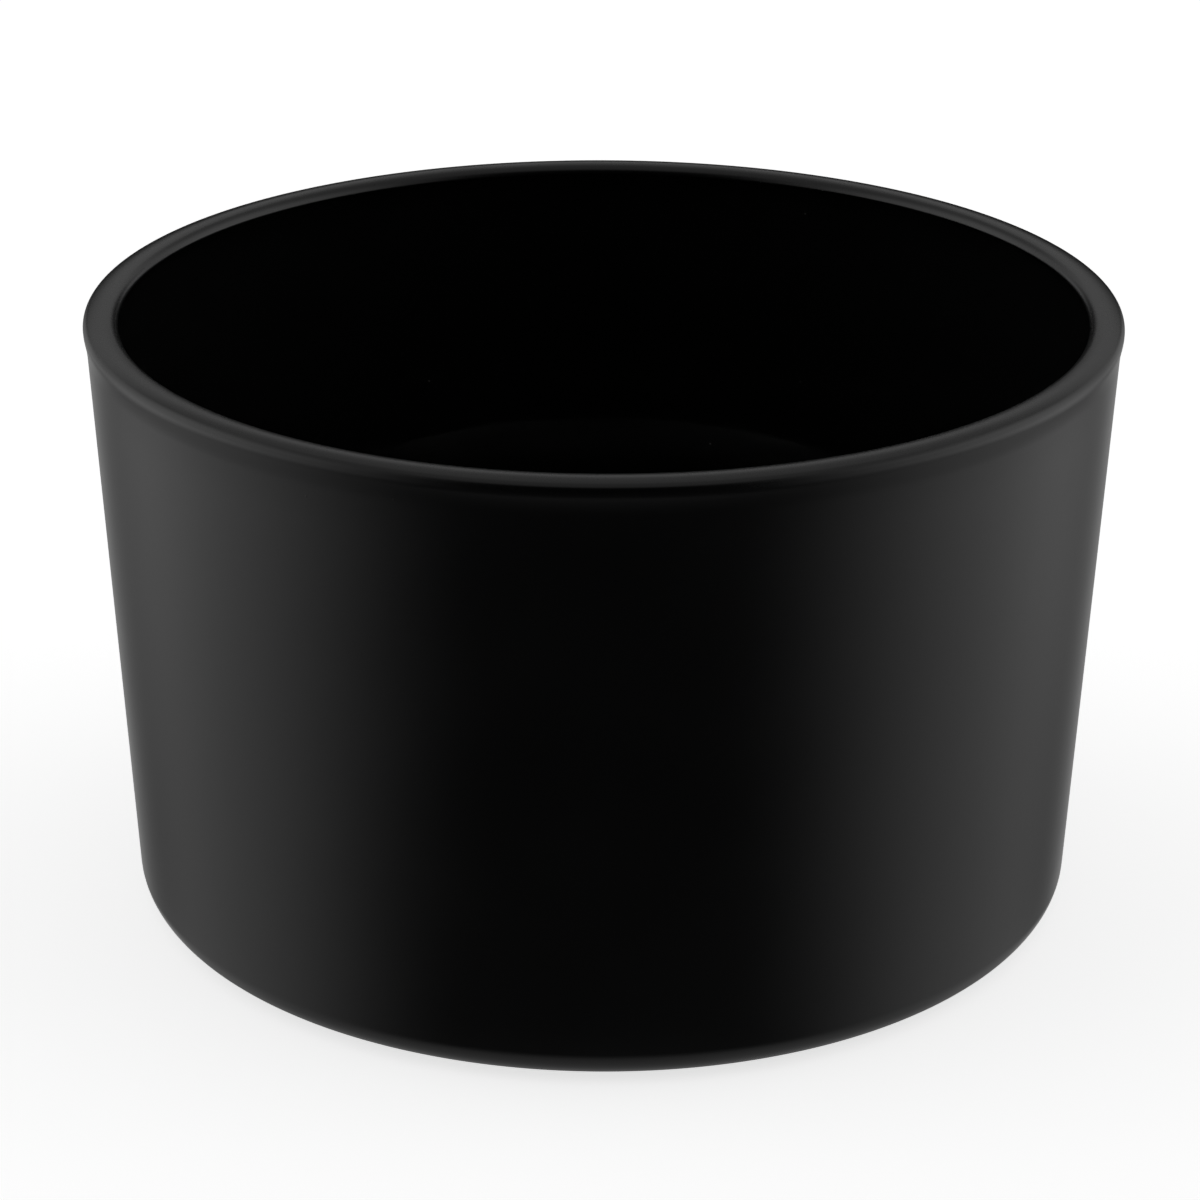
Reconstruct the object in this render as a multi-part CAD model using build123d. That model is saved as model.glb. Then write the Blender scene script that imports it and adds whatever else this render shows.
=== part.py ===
from build123d import *
import math
import os

# An empty candle jar: a pressed glass bowl with a black lacquer film over its outside.
# Millimetres, +Z up. The origin is the middle of the ring of pips that the jar stands on.

# ---- Overall size, over the lacquer ----
RIM_RADIUS = 60.0  # the jar's widest point, on the rounded rim
RIM_WIDEST_Z = 70.85  # height of that point, about 1.1 below the rim's top
WALL_TAPER = 3.0  # degrees that the wall leans inwards on its way down
HEEL_RADIUS = 3.9  # rounding between the wall and the underside

# ---- Rim section: radii, and the slopes where they meet, in degrees ----
EDGE_RADIUS = 0.9  # outer edge, rounded by fire polishing
CROWN_RADIUS = 5.0  # the slightly crowned top
CROWN_OUTER_TILT = 17.0  # slope where the outer edge meets the crown
CROWN_INNER_TILT = 11.0  # slope where the crown meets the mouth's inner lip
LIP_RADIUS = 1.2  # inner lip of the mouth
FLANK_RADIUS = 3.2  # the rim's rounded underside
FLANK_LEAN = 13.5  # the steepest lean of that underside
NECK_RADIUS = 10.8  # hollow sweep from the underside into the wall

# ---- Inside ----
INNER_DRAFT = 3.4  # degrees of draft that the press plunger leaves
FLOOR_Z = 7.6  # height of the inside floor
INNER_CORNER_RADIUS = 9.0  # between the inside wall and the floor

# ---- Underside ----
RING_WIDTH = 3.4  # level ring between the heel and the hollow underside
PUNT_RADIUS = 5.0  # both radii of the step up into the hollow
PUNT_TURN = 24.0  # degrees that the step turns each way
PIP_COUNT = 90  # glass pips under the ring, which the jar stands on
PIP_HEIGHT = 0.25
PIP_BASE_RADIUS = 0.62
PIP_TIP_RADIUS = 0.32

# ---- Lacquer ----
COAT = 0.1  # thickness of the film, thinner than the pips are high
COAT_END_TURN = 70.0  # degrees round the inner lip at which the film ends

LIP_TURN = 90 - CROWN_INNER_TILT - INNER_DRAFT  # from the crown's end to the inside wall


def direction(degrees):
    """A unit vector in the section, where X is the radius and Y is the height."""
    return (math.cos(math.radians(degrees)), math.sin(math.radians(degrees)))


def follow(start, heading, bends):
    """Tangent arcs in a row, from a list of (radius, turn in degrees with left turns positive)."""
    edges = []
    for radius, turn in bends:
        edges.append(JernArc(start, direction(heading), radius, turn))
        start, heading = edges[-1] @ 1, heading + turn
    return edges


def down_and_round(top, lean, radius, level):
    """A leaning wall down from a point, and the rounding that ends level, heading for the axis."""
    drop = top.Y - level - radius * (1 - math.sin(math.radians(lean)))
    foot = (top.X - drop * math.tan(math.radians(lean)), top.Y - drop)
    return [Line(top, foot), JernArc(foot, direction(-90 - lean), radius, lean - 90)]


def rim_top(depth, lip_turn):
    """From the widest point over the top of the rim and into the mouth."""
    bends = [
        (EDGE_RADIUS - depth, 90 - CROWN_OUTER_TILT),
        (CROWN_RADIUS - depth, CROWN_OUTER_TILT + CROWN_INNER_TILT),
        (LIP_RADIUS - depth, lip_turn),
    ]
    return follow((RIM_RADIUS - depth, RIM_WIDEST_Z), 90, bends)


def rim_underside(depth):
    """From the widest point down the rim's underside and through the neck."""
    bends = [
        (FLANK_RADIUS - depth, -FLANK_LEAN),
        (NECK_RADIUS + depth, FLANK_LEAN - WALL_TAPER),
    ]
    return follow((RIM_RADIUS - depth, RIM_WIDEST_Z), -90, bends)


def underside(start, depth):
    """From the heel's end across the bearing ring and up into the hollow, to the axis."""
    ring_end = (start.X - RING_WIDTH, start.Y)
    bends = [(PUNT_RADIUS - depth, -PUNT_TURN), (PUNT_RADIUS + depth, PUNT_TURN)]
    step = follow(ring_end, 180, bends)
    hollow = step[-1] @ 1
    return [Line(start, ring_end), *step, Line(hollow, (0, hollow.Y))]


def outside(depth, lip_turn):
    """The outside of the section from the mouth to the axis, at a depth under the film's face."""
    top = rim_top(depth, lip_turn)
    neck = rim_underside(depth)
    level = PIP_HEIGHT - COAT + depth
    wall = down_and_round(neck[-1] @ 1, WALL_TAPER, HEEL_RADIUS - depth, level)
    return top, [*neck, *wall, *underside(wall[-1] @ 1, depth)]


def turned(edges):
    """The solid of revolution about the jar's axis of a closed outline."""
    return revolve(Plane.XZ * make_face(edges), Axis.Z)


def pips():
    """The ring of small tapered pips, tips down."""
    heel_end = outside(0, LIP_TURN)[1][3] @ 1
    pip = Cone(
        PIP_TIP_RADIUS,
        PIP_BASE_RADIUS,
        PIP_HEIGHT,
        align=(Align.CENTER, Align.CENTER, Align.MIN),
    )
    return [place * pip for place in PolarLocations(heel_end.X - RING_WIDTH / 2, PIP_COUNT)]


def glass_body():
    """The bowl itself, with its pips. Its outside lies one film's thickness under the jar's."""
    top, rest = outside(COAT, LIP_TURN)
    inner = down_and_round(top[-1] @ 1, INNER_DRAFT, INNER_CORNER_RADIUS, FLOOR_Z)
    floor_edge, base_centre = inner[-1] @ 1, rest[-1] @ 1
    floor_line = Line(floor_edge, (0, FLOOR_Z))
    axis_line = Line((0, FLOOR_Z), base_centre)
    return turned([*top, *rest, *inner, floor_line, axis_line]) + pips()


def exterior_coating():
    """The film: from the mouth's inner lip over the rim, down the wall and right under the base."""
    face_top, face_rest = outside(0, COAT_END_TURN)
    back_top, back_rest = outside(COAT, COAT_END_TURN)
    ends = [
        Line(face_top[-1] @ 1, back_top[-1] @ 1),
        Line(face_rest[-1] @ 1, back_rest[-1] @ 1),
    ]
    return turned([*face_top, *face_rest, *back_top, *back_rest, *ends]) - pips()


os.makedirs("parts", exist_ok=True)
export_step(glass_body(), "parts/glass_body.step")
export_step(exterior_coating(), "parts/exterior_coating.step")
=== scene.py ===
import math

import bmesh
import bpy
from mathutils import Matrix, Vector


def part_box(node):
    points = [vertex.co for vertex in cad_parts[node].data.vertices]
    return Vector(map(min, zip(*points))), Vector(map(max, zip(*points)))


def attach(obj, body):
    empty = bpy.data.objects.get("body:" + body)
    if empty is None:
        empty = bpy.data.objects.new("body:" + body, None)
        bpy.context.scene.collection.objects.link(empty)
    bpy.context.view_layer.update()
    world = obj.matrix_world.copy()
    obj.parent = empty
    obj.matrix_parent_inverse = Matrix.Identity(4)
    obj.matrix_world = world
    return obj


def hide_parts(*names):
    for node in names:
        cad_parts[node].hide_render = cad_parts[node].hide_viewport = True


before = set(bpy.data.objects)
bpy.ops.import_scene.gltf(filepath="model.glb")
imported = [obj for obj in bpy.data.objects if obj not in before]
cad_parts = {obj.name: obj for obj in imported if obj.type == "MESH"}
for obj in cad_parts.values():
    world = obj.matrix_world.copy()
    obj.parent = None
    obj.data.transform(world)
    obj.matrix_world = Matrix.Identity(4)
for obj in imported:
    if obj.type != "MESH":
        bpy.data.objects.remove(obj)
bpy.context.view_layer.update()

# An empty candle jar of pressed glass with a satin black lacquer outside. Metres and degrees.
# The CAD parts in model.glb give the rim's radius and the heights; the section's radii and slopes
# repeat the CAD's.

MM = 0.001

# ---- Section ----
EDGE_RADIUS = 0.9 * MM
CROWN_RADIUS = 5.0 * MM
CROWN_OUTER_TILT = 17.0
CROWN_INNER_TILT = 11.0
LIP_RADIUS = 1.2 * MM
FLANK_RADIUS = 3.2 * MM
FLANK_LEAN = 13.5
NECK_RADIUS = 10.8 * MM
WALL_TAPER = 3.0
HEEL_RADIUS = 3.9 * MM
RING_WIDTH = 3.4 * MM
PUNT_RADIUS = 5.0 * MM
PUNT_TURN = 24.0
INNER_DRAFT = 3.4
FLOOR_RISE = 7.6 * MM
INNER_CORNER_RADIUS = 9.0 * MM
PIP_COUNT = 90
PIP_HEIGHT = 0.25 * MM
PIP_BASE_RADIUS = 0.62 * MM
PIP_TIP_RADIUS = 0.32 * MM
COAT = 0.1 * MM  # the lacquer's thickness
COAT_END_TURN = 70.0  # degrees round the inner lip at which the lacquer ends
COAT_END_ROUNDING = math.degrees(COAT / LIP_RADIUS)  # degrees of the lip that its rounded end takes up
LIP_TURN = 90 - CROWN_INNER_TILT - INNER_DRAFT  # from the crown's end to the inside wall
BOND = 0.03 * MM  # the film's back lies this far inside the glass, so that no gap shows between

JAR_LOW, JAR_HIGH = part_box("glass_body")
FILM_LOW, FILM_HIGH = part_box("exterior_coating")
RIM_RADIUS = min(FILM_HIGH.x, FILM_HIGH.y, -FILM_LOW.x, -FILM_LOW.y)
FOOT = JAR_LOW.z
CROWN_RISE = CROWN_RADIUS - (CROWN_RADIUS - EDGE_RADIUS) * math.cos(math.radians(CROWN_OUTER_TILT))
WIDEST_Z = FILM_HIGH.z - CROWN_RISE

# ---- Mesh density ----
PATCH = 4  # segments, and rows, that the patch round one pip takes up
SEGMENTS = PIP_COUNT * PATCH
PATCH_ROW = 0.4 * MM
BEND_STEP = 6.0  # degrees between the rows of a bend
WALL_STEP = 4.0 * MM
FLAT_ROWS = 6
END_ROWS = 4  # rows of the lacquer's rounded end
SHARP_ANGLE = 35  # degrees between faces that don't blend into each other

# ---- Pips, as (radius at the ring, radius at the tip, height of the tip) ----
GLASS_PIP = (PIP_BASE_RADIUS, 0.30 * MM, FOOT + 0.03 * MM)
FILM_PIP = (0.52 * MM, PIP_TIP_RADIUS, FOOT)
BACK_PIP = (0.58 * MM, 0.26 * MM, FOOT + 0.06 * MM)


def unit(degrees):
    """The two components of a unit vector in this direction."""
    return math.cos(math.radians(degrees)), math.sin(math.radians(degrees))


# ---- Parts of the section, as lists of (radius, height) ----
def bend(path, heading, radius, turn):
    """Adds a tangent arc to a path and returns the new heading. Left turns are positive."""
    side = math.copysign(90, turn)
    to_centre = unit(heading + side)
    centre = [path[-1][i] + radius * to_centre[i] for i in (0, 1)]
    rows = max(2, math.ceil(abs(turn) / BEND_STEP))
    for row in range(1, rows + 1):
        out = unit(heading - side + turn * row / rows)
        path.append((centre[0] + radius * out[0], centre[1] + radius * out[1]))
    return heading + turn


def run(path, end, rows):
    """Adds a straight run to a path."""
    (r0, z0), (r1, z1) = path[-1], end
    for row in range(1, rows + 1):
        path.append((r0 + (r1 - r0) * row / rows, z0 + (z1 - z0) * row / rows))


def wall_down(path, lean, radius, level):
    """Adds a leaning wall and the rounding below it, which ends level, heading for the axis."""
    r, z = path[-1]
    drop = z - level - radius * (1 - math.sin(math.radians(lean)))
    foot = (r - drop * math.tan(math.radians(lean)), z - drop)
    run(path, foot, math.ceil(drop / WALL_STEP))
    bend(path, -90 - lean, radius, lean - 90)


def over_rim(depth, lip_turn):
    """From the mouth's lip over the rim to its widest point, at a depth under the film's face."""
    path = [(RIM_RADIUS - depth, WIDEST_Z)]
    heading = bend(path, 90, EDGE_RADIUS - depth, 90 - CROWN_OUTER_TILT)
    crown_turn = CROWN_OUTER_TILT + CROWN_INNER_TILT
    heading = bend(path, heading, CROWN_RADIUS - depth, crown_turn)
    bend(path, heading, LIP_RADIUS - depth, lip_turn)
    return path[::-1]


def down_to_ring(depth):
    """From just under the widest point down the neck, wall and heel to the bearing ring."""
    path = [(RIM_RADIUS - depth, WIDEST_Z)]
    heading = bend(path, -90, FLANK_RADIUS - depth, -FLANK_LEAN)
    bend(path, heading, NECK_RADIUS + depth, FLANK_LEAN - WALL_TAPER)
    wall_down(path, WALL_TAPER, HEEL_RADIUS - depth, FOOT + PIP_HEIGHT - COAT + depth)
    return path[1:]


def pip_rows(ring_start):
    """The rows of the bearing ring that the pips' patches fill."""
    outer = ring_start[0] - RING_WIDTH / 2 + PATCH_ROW * PATCH / 2
    return [(outer - PATCH_ROW * row, ring_start[1]) for row in range(PATCH + 1)]


def hollow(ring_start, depth):
    """From the bearing ring's inner edge up into the hollow and almost to the axis."""
    path = [(ring_start[0] - RING_WIDTH, ring_start[1])]
    heading = bend(path, 180, PUNT_RADIUS - depth, -PUNT_TURN)
    bend(path, heading, PUNT_RADIUS + depth, PUNT_TURN)
    run(path, (path[-1][0] / FLAT_ROWS, path[-1][1]), FLAT_ROWS)
    return path


def inside():
    """From the lip down the inside wall, round the corner and over the floor."""
    path = [over_rim(COAT, LIP_TURN)[0]]
    wall_down(path, INNER_DRAFT, INNER_CORNER_RADIUS, FOOT + FLOOR_RISE)
    run(path, (path[-1][0] / FLAT_ROWS, path[-1][1]), FLAT_ROWS)
    return path[1:]


def film_end():
    """The lacquer's rounded end on the lip, from the glass to its face."""
    turn = COAT_END_TURN - COAT_END_ROUNDING
    bases = over_rim(COAT, turn)[0], over_rim(0, turn)[0]
    along = unit(180 + CROWN_INNER_TILT + turn)
    path = []
    for row in range(END_ROWS):
        c, s = unit(90 * row / END_ROWS)
        path.append(tuple(a + (b - a) * s + COAT * c * t for a, b, t in zip(*bases, along)))
    return path


# ---- Meshes of revolution ----
class Turning:
    """Builds a closed mesh ring by ring, with patches for the pips on its bearing ring."""

    def __init__(self):
        self.mesh = bmesh.new()
        self.material = 0

    def face(self, verts):
        self.mesh.faces.new(verts).material_index = self.material

    def ring(self, point, every=1):
        """A ring of vertices, or only each PATCH-th one where patches fill the gaps."""
        verts = []
        for j in range(SEGMENTS):
            c, s = unit(360 * (j - PATCH / 2) / SEGMENTS)
            vert = None
            if j % every == 0:
                vert = self.mesh.verts.new((point[0] * c, point[0] * s, point[1]))
            verts.append(vert)
        return verts

    def strip(self, a, b):
        """Quads between two loops of vertices."""
        for j in range(len(a)):
            self.face((a[j - 1], a[j], b[j], b[j - 1]))

    def rows(self, points, start=None):
        """Rings joined along a path, after a ring that is there already. Returns first and last."""
        rings = [start] if start else []
        for point in points:
            rings.append(self.ring(point))
            if len(rings) > 1:
                self.strip(rings[-2], rings[-1])
        return rings[0], rings[-1]

    def circle(self, middle, pip, radius, height):
        """A loop of vertices round a pip, in step with the edge of its patch."""
        c, s = unit(360 * pip / PIP_COUNT)
        verts = []
        for i in range(4 * PATCH):
            along, inward = unit(225 + 90 * i / PATCH)
            r = middle - radius * inward
            t = radius * along
            verts.append(self.mesh.verts.new((r * c - t * s, r * s + t * c, height)))
        return verts

    def patch_edge(self, rings, pip):
        """The vertices round a pip's patch: along its outer side, in, back and out again."""
        first = pip * PATCH
        last = (first + PATCH) % SEGMENTS
        outer = [rings[0][first + i] for i in range(PATCH)]
        right = [ring[last] for ring in rings[:-1]]
        inner = [rings[-1][(first + PATCH - i) % SEGMENTS] for i in range(PATCH)]
        left = [ring[first] for ring in rings[:0:-1]]
        return outer + right + inner + left

    def pips(self, start, points, pip_shape):
        """The bearing ring's middle with a pip in each patch. Returns its last ring."""
        rings = [self.ring(points[0])]
        rings += [self.ring(point, every=PATCH) for point in points[1:-1]]
        rings.append(self.ring(points[-1]))
        self.strip(start, rings[0])
        middle = (points[0][0] + points[-1][0]) / 2
        foot_radius, tip_radius, tip_height = pip_shape
        for pip in range(PIP_COUNT):
            foot = self.circle(middle, pip, foot_radius, points[0][1])
            tip = self.circle(middle, pip, tip_radius, tip_height)
            self.strip(self.patch_edge(rings, pip), foot)
            self.strip(foot, tip)
            self.face(tip)
        return rings[-1]

    def skin(self, path, depth, pip_shape):
        """A skin along a path, the wall and the underside to the axis. Returns its first ring."""
        down = down_to_ring(depth)
        first, ring = self.rows(path + down)
        ring = self.pips(ring, pip_rows(down[-1]), pip_shape)
        self.cap(self.rows(hollow(down[-1], depth), ring)[1])
        return first

    def cap(self, ring):
        """A fan that closes a level ring on the axis."""
        centre = self.mesh.verts.new((0, 0, ring[0].co.z))
        for j in range(len(ring)):
            self.face((ring[j - 1], ring[j], centre))

    def finish(self, name, node, materials):
        """The object, which stands for a CAD node."""
        bmesh.ops.recalc_face_normals(self.mesh, faces=self.mesh.faces)
        for face in self.mesh.faces:
            face.smooth = True
        data = bpy.data.meshes.new(name)
        self.mesh.to_mesh(data)
        self.mesh.free()
        data.set_sharp_from_angle(angle=math.radians(SHARP_ANGLE))
        for material in materials:
            data.materials.append(material)
        piece = bpy.data.objects.new(name, data)
        bpy.context.scene.collection.objects.link(piece)
        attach(piece, "root")
        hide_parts(node)
        return piece


def make_glass(material):
    """The bowl: lip, rim, wall, underside with its pips, and inside."""
    turning = Turning()
    lip = turning.skin(over_rim(COAT, LIP_TURN), COAT, GLASS_PIP)
    turning.cap(turning.rows(inside(), lip)[1])
    return turning.finish("glass_bowl", "glass_body", [material])


def make_film(face_material, back_material):
    """The lacquer: its face, and its back bonded to the glass, joined at the lip."""
    turning = Turning()
    depth = COAT + BOND
    turn = COAT_END_TURN - COAT_END_ROUNDING
    face = turning.skin(film_end() + over_rim(0, turn), 0, FILM_PIP)
    turning.material = 1
    back = turning.skin(over_rim(depth, turn), depth, BACK_PIP)
    turning.strip(face, back)
    materials = [face_material, back_material]
    return turning.finish("lacquer_film", "exterior_coating", materials)


# ---- Node materials ----
HANDLED_BELOW = 0.6 * MM  # the heel is fully polished by handling up to this height


def node(tree, kind, inputs=None, **settings):
    """A shader node with its settings, and its inputs linked or set."""
    made = tree.nodes.new(kind)
    for name, value in settings.items():
        setattr(made, name, value)
    for key, value in (inputs or {}).items():
        if isinstance(value, bpy.types.NodeSocket):
            tree.links.new(value, made.inputs[key])
        else:
            made.inputs[key].default_value = value
    return made


def math_node(tree, operation, *values):
    """A sum, a product or the like of sockets and numbers."""
    made = node(tree, "ShaderNodeMath", dict(enumerate(values)), operation=operation)
    return made.outputs[0]


def spread(tree, value, start, end, low=0.0, high=1.0, kind="LINEAR"):
    """A value from start to end as one from low to high, clamped at both ends."""
    inputs = {"Value": value, "From Min": start, "From Max": end, "To Min": low, "To Max": high}
    return node(tree, "ShaderNodeMapRange", inputs, interpolation_type=kind).outputs["Result"]


def noise(tree, coordinates, size, detail=2.0):
    """Noise from 0 to 1 whose features are about this size, in millimetres."""
    inputs = {"Vector": coordinates, "Scale": 1 / size, "Detail": detail, "Roughness": 0.5}
    return node(tree, "ShaderNodeTexNoise", inputs).outputs[0]


def specks(tree, coordinates, spacing, radius):
    """Round spots of this radius, at random places about this far apart, in millimetres."""
    inputs = {"Vector": coordinates, "Scale": 1 / spacing}
    cells = node(tree, "ShaderNodeTexVoronoi", inputs, voronoi_dimensions="3D")
    edge = radius / spacing
    return spread(tree, cells.outputs["Distance"], edge * 0.4, edge, 1.0, 0.0, "SMOOTHSTEP")


def new_material(name):
    """A node material. Returns it with its tree, shader, and coordinates in millimetres."""
    material = bpy.data.materials.new(name)
    material.use_nodes = True
    tree = material.node_tree
    shader = tree.nodes["Principled BSDF"]
    place = node(tree, "ShaderNodeTexCoord").outputs["Object"]
    inputs = {0: place, "Scale": 1 / MM}
    scaled = node(tree, "ShaderNodeVectorMath", inputs, operation="SCALE").outputs[0]
    return material, tree, shader, scaled


def bump(tree, height, distance, normal=None):
    """A bump node whose height runs from 0 to a distance in millimetres."""
    inputs = {"Height": height, "Distance": distance * MM, "Strength": 1.0}
    if normal:
        inputs["Normal"] = normal
    return node(tree, "ShaderNodeBump", inputs).outputs[0]


def two_tones(tree, factor, dark, light):
    """A colour between two greys or tints."""
    made = node(tree, "ShaderNodeMix", {0: factor}, data_type="RGBA")
    made.inputs[6].default_value = (*dark, 1)
    made.inputs[7].default_value = (*light, 1)
    return made.outputs[2]


def lacquer():
    """Sprayed satin black: faint orange peel, a cloudy sheen, few nibs and a handled rim."""
    material, tree, shader, place = new_material("satin_black_lacquer")
    cloud = noise(tree, place, 14.0)
    grain = noise(tree, place, 0.35)
    peel = noise(tree, place, 1.3)
    nibs = specks(tree, place, 6.0, 0.16)
    height = node(tree, "ShaderNodeSeparateXYZ", {0: place}).outputs["Z"]
    rim = spread(tree, height, (WIDEST_Z - FLANK_RADIUS) / MM, FILM_HIGH.z / MM)
    heel = spread(tree, height, HANDLED_BELOW / MM, HEEL_RADIUS / MM, 1.0, 0.0)
    handled = math_node(tree, "MULTIPLY", math_node(tree, "MAXIMUM", rim, heel), cloud)
    rough = spread(tree, cloud, 0.3, 0.7, 0.27, 0.29)
    rough = math_node(tree, "MULTIPLY_ADD", grain, 0.02, rough)
    rough = math_node(tree, "MULTIPLY_ADD", handled, -0.03, rough)
    tree.links.new(rough, shader.inputs["Roughness"])
    black = two_tones(tree, cloud, (0.0008, 0.0008, 0.0009), (0.0014, 0.0014, 0.0015))
    tree.links.new(black, shader.inputs["Base Color"])
    normal = bump(tree, peel, 0.004)
    normal = bump(tree, grain, 0.0006, normal)
    tree.links.new(bump(tree, nibs, 0.012, normal), shader.inputs["Normal"])
    return material


def lacquer_back():
    """The film's bonded back, seen through the glass as black without a gloss of its own."""
    material, tree, shader, place = new_material("lacquer_behind_glass")
    black = two_tones(tree, noise(tree, place, 9.0), (0.010,) * 3, (0.014,) * 3)
    tree.links.new(black, shader.inputs["Base Color"])
    rough = spread(tree, noise(tree, place, 2.0), 0.3, 0.7, 0.7, 0.9)
    tree.links.new(rough, shader.inputs["Roughness"])
    shader.inputs["Specular IOR Level"].default_value = 0.0
    return material


def glass():
    """Clear pressed glass: long faint waves, a light handling haze and a few specks of dust."""
    material, tree, shader, place = new_material("clear_pressed_glass")
    haze = spread(tree, noise(tree, place, 11.0, 4.0), 0.35, 0.75, 0.012, 0.035)
    dust = specks(tree, place, 5.0, 0.12)
    rough = math_node(tree, "MULTIPLY_ADD", dust, 0.3, haze)
    tree.links.new(rough, shader.inputs["Roughness"])
    tint = two_tones(tree, noise(tree, place, 30.0), (0.90, 0.945, 0.93), (0.93, 0.96, 0.95))
    tree.links.new(tint, shader.inputs["Base Color"])
    normal = bump(tree, noise(tree, place, 16.0, 1.0), 0.02)
    tree.links.new(bump(tree, dust, 0.01, normal), shader.inputs["Normal"])
    shader.inputs["Transmission Weight"].default_value = 1.0
    shader.inputs["IOR"].default_value = 1.52
    return material


# ---- Studio ----
PALE = 0.93  # the background and the lit floor, in linear light
FLOOR_GLOW = 0.72  # the share of the floor's brightness that the jar can't shade
FLOOR_REACH = 6.0
FLOOR_GAP = 0.02 * MM  # between the floor and the pips
BOX_RISE = 80  # how far up the overhead light stands, behind the jar

CAMERA_PLACE = (0, -0.41531, 0.20696)
CAMERA_TURN = 0.044  # degrees to the left
CAMERA_TILT = 67.4146  # degrees from looking straight down
CAMERA_ROLL = 0.2136
SENSOR_WIDTH = 36.0  # millimetres, as is the lens
LENS = 112.66


def sky_angles(tree):
    """Of a direction: degrees off the front to either side, of elevation, and off the overhead box."""
    way = node(tree, "ShaderNodeTexCoord").outputs["Generated"]
    x, y, z = node(tree, "ShaderNodeSeparateXYZ", {0: way}).outputs
    front = math_node(tree, "MULTIPLY", y, -1.0)
    side = math_node(tree, "ABSOLUTE", math_node(tree, "ARCTAN2", x, front))
    box_up = math_node(tree, "MULTIPLY", z, math.sin(math.radians(BOX_RISE)))
    along_box = math_node(tree, "MULTIPLY_ADD", y, math.cos(math.radians(BOX_RISE)), box_up)
    angles = side, math_node(tree, "ARCSINE", z), math_node(tree, "ARCCOSINE", along_box)
    return [math_node(tree, "DEGREES", angle) for angle in angles]


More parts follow.
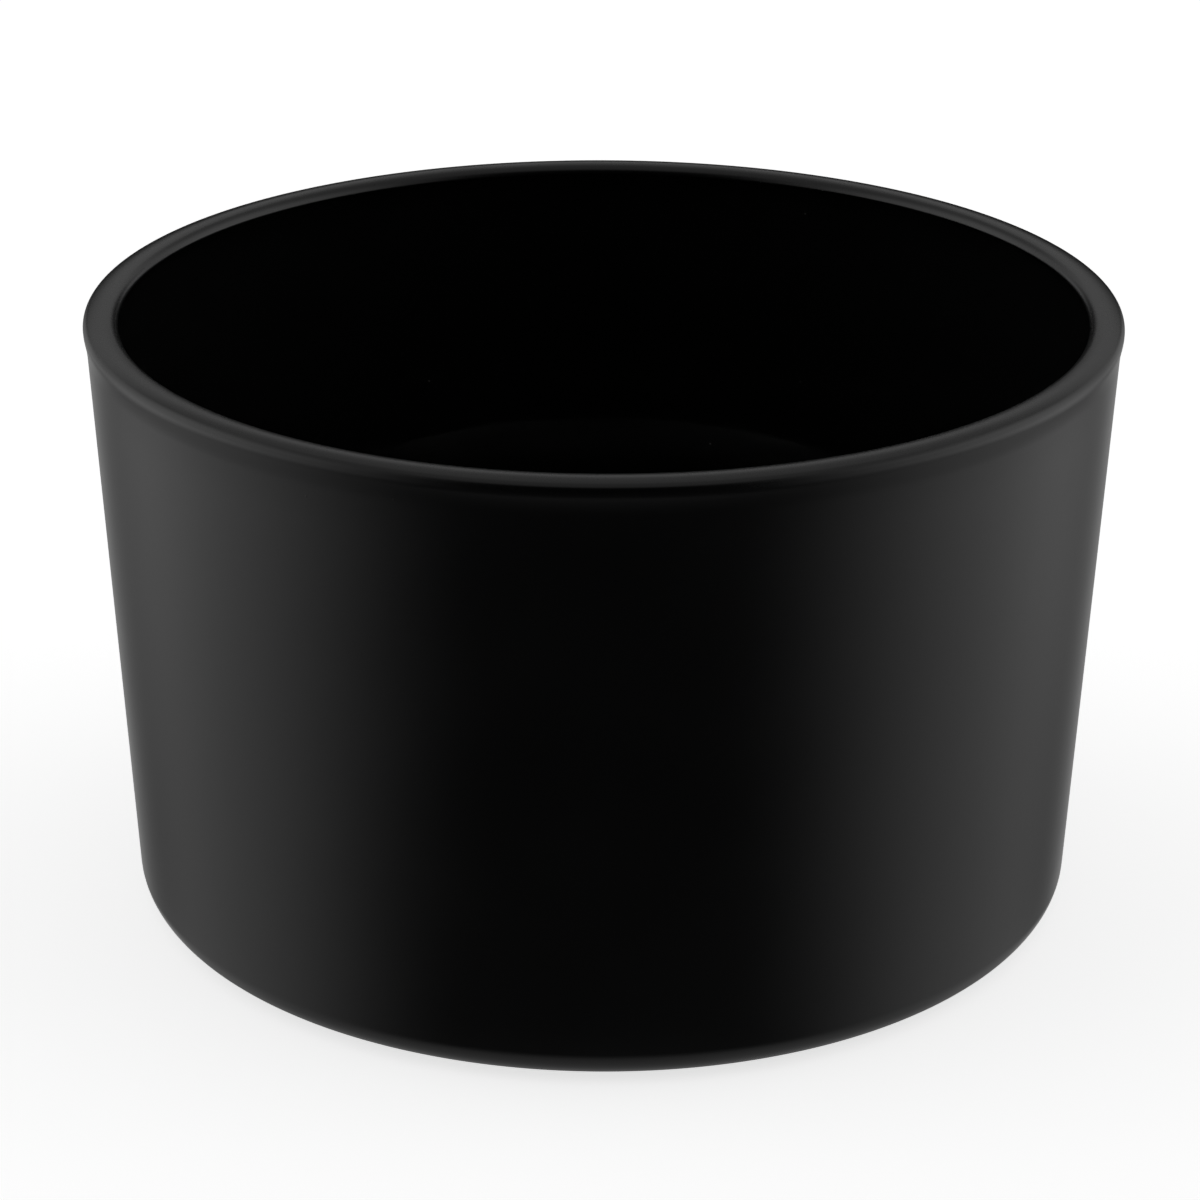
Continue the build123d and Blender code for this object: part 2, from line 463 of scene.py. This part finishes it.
def studio_light():
    """The sky that the jar reflects, made of soft-edged lights, and the pale background behind it."""
    world = bpy.data.worlds.new("studio")
    bpy.context.scene.world = world
    world.use_nodes = True
    tree = world.node_tree
    tree.nodes.clear()
    azimuth, elevation, off_box = sky_angles(tree)

    def soft(value, start, end, low, high):
        """A smooth change from low to high between two angles."""
        return spread(tree, value, start, end, low, high, "SMOOTHSTEP")

    def times(*values):
        """The product of a light's strength and its edges."""
        product = values[0]
        for value in values[1:]:
            product = math_node(tree, "MULTIPLY", product, value)
        return product

    # The two broad panels, left and right.
    panels = times(
        soft(azimuth, 27, 92, 0, 1.02),
        soft(azimuth, 105, 158, 1, 0),
        soft(elevation, -35, -19, 0, 1),
        soft(elevation, 28, 58, 1, 0),
    )
    # The upper part of the backdrop, which lights the crown of the rim.
    backdrop = times(
        soft(azimuth, 120, 160, 0, 0.47),
        soft(elevation, 12.5, 16, 0, 1),
        soft(elevation, 23, 36, 1, 0),
    )
    # The pale floor behind the jar.
    behind = times(
        soft(azimuth, 138, 168, 0, 0.65),
        soft(elevation, -38, -32, 0, 1),
        soft(elevation, -18, -12, 1, 0),
    )
    # The gap between each panel and the backdrop, which outlines the rim's sides.
    strips = times(
        soft(azimuth, 134, 145, 0, 0.4),
        soft(azimuth, 151, 162, 1, 0),
        soft(elevation, -20, -12, 0, 1),
        soft(elevation, 9, 14, 1, 0),
    )
    # The floor under the panels.
    skirt = times(
        soft(azimuth, 42, 96, 0, 0.45),
        soft(azimuth, 125, 160, 1, 0.5),
        soft(elevation, -50, -44, 0, 1),
        soft(elevation, -34, -28, 1, 0),
    )
    overhead = soft(off_box, 36, 58, 0.34, 0)
    under = soft(elevation, -50, -44, 0.31, 0)
    total = panels
    for part in (backdrop, behind, strips, skirt, overhead, under):
        total = math_node(tree, "ADD", total, part)
    light = node(tree, "ShaderNodeBackground", {"Color": (1, 1, 1, 1), "Strength": total})
    pale = node(tree, "ShaderNodeBackground", {"Color": (1, 1, 1, 1), "Strength": PALE})
    seen = node(tree, "ShaderNodeLightPath").outputs["Is Camera Ray"]
    mix = node(tree, "ShaderNodeMixShader", {0: seen, 1: light.outputs[0], 2: pale.outputs[0]})
    node(tree, "ShaderNodeOutputWorld", {"Surface": mix.outputs[0]})


def floor():
    """A large pale floor, seen only from above."""
    mesh = bmesh.new()
    bmesh.ops.create_grid(mesh, x_segments=8, y_segments=8, size=FLOOR_REACH)
    data = bpy.data.meshes.new("floor")
    mesh.to_mesh(data)
    mesh.free()
    plane = bpy.data.objects.new("floor", data)
    plane.location.z = FOOT - FLOOR_GAP
    bpy.context.scene.collection.objects.link(plane)
    material = bpy.data.materials.new("pale_floor")
    material.use_nodes = True
    tree = material.node_tree
    tree.nodes.clear()
    matt = node(tree, "ShaderNodeBsdfDiffuse", {"Color": (0.8, 0.8, 0.8, 1)})
    glow = node(tree, "ShaderNodeEmission", {"Strength": FLOOR_GLOW})
    top = node(tree, "ShaderNodeAddShader", {0: matt.outputs[0], 1: glow.outputs[0]})
    under = node(tree, "ShaderNodeBsdfTransparent")
    turned = node(tree, "ShaderNodeNewGeometry").outputs["Backfacing"]
    mix = node(tree, "ShaderNodeMixShader", {0: turned, 1: top.outputs[0], 2: under.outputs[0]})
    node(tree, "ShaderNodeOutputMaterial", {"Surface": mix.outputs[0]})
    data.materials.append(material)
    plane.visible_glossy = False
    plane.visible_transmission = False


def camera():
    """Standing in front of the jar, looking down at about 23 degrees."""
    data = bpy.data.cameras.new("camera")
    data.sensor_width = SENSOR_WIDTH
    data.lens = LENS
    eye = bpy.data.objects.new("camera", data)
    turn = Matrix.Rotation(math.radians(CAMERA_TURN), 4, "Z")
    tilt = Matrix.Rotation(math.radians(CAMERA_TILT), 4, "X")
    roll = Matrix.Rotation(math.radians(CAMERA_ROLL), 4, "Z")
    eye.matrix_world = Matrix.Translation(CAMERA_PLACE) @ turn @ tilt @ roll
    bpy.context.scene.collection.objects.link(eye)
    bpy.context.scene.camera = eye


make_glass(glass())
make_film(lacquer(), lacquer_back())
studio_light()
floor()
camera()
bpy.context.scene.view_settings.view_transform = "Standard"
bpy.context.view_layer.update()
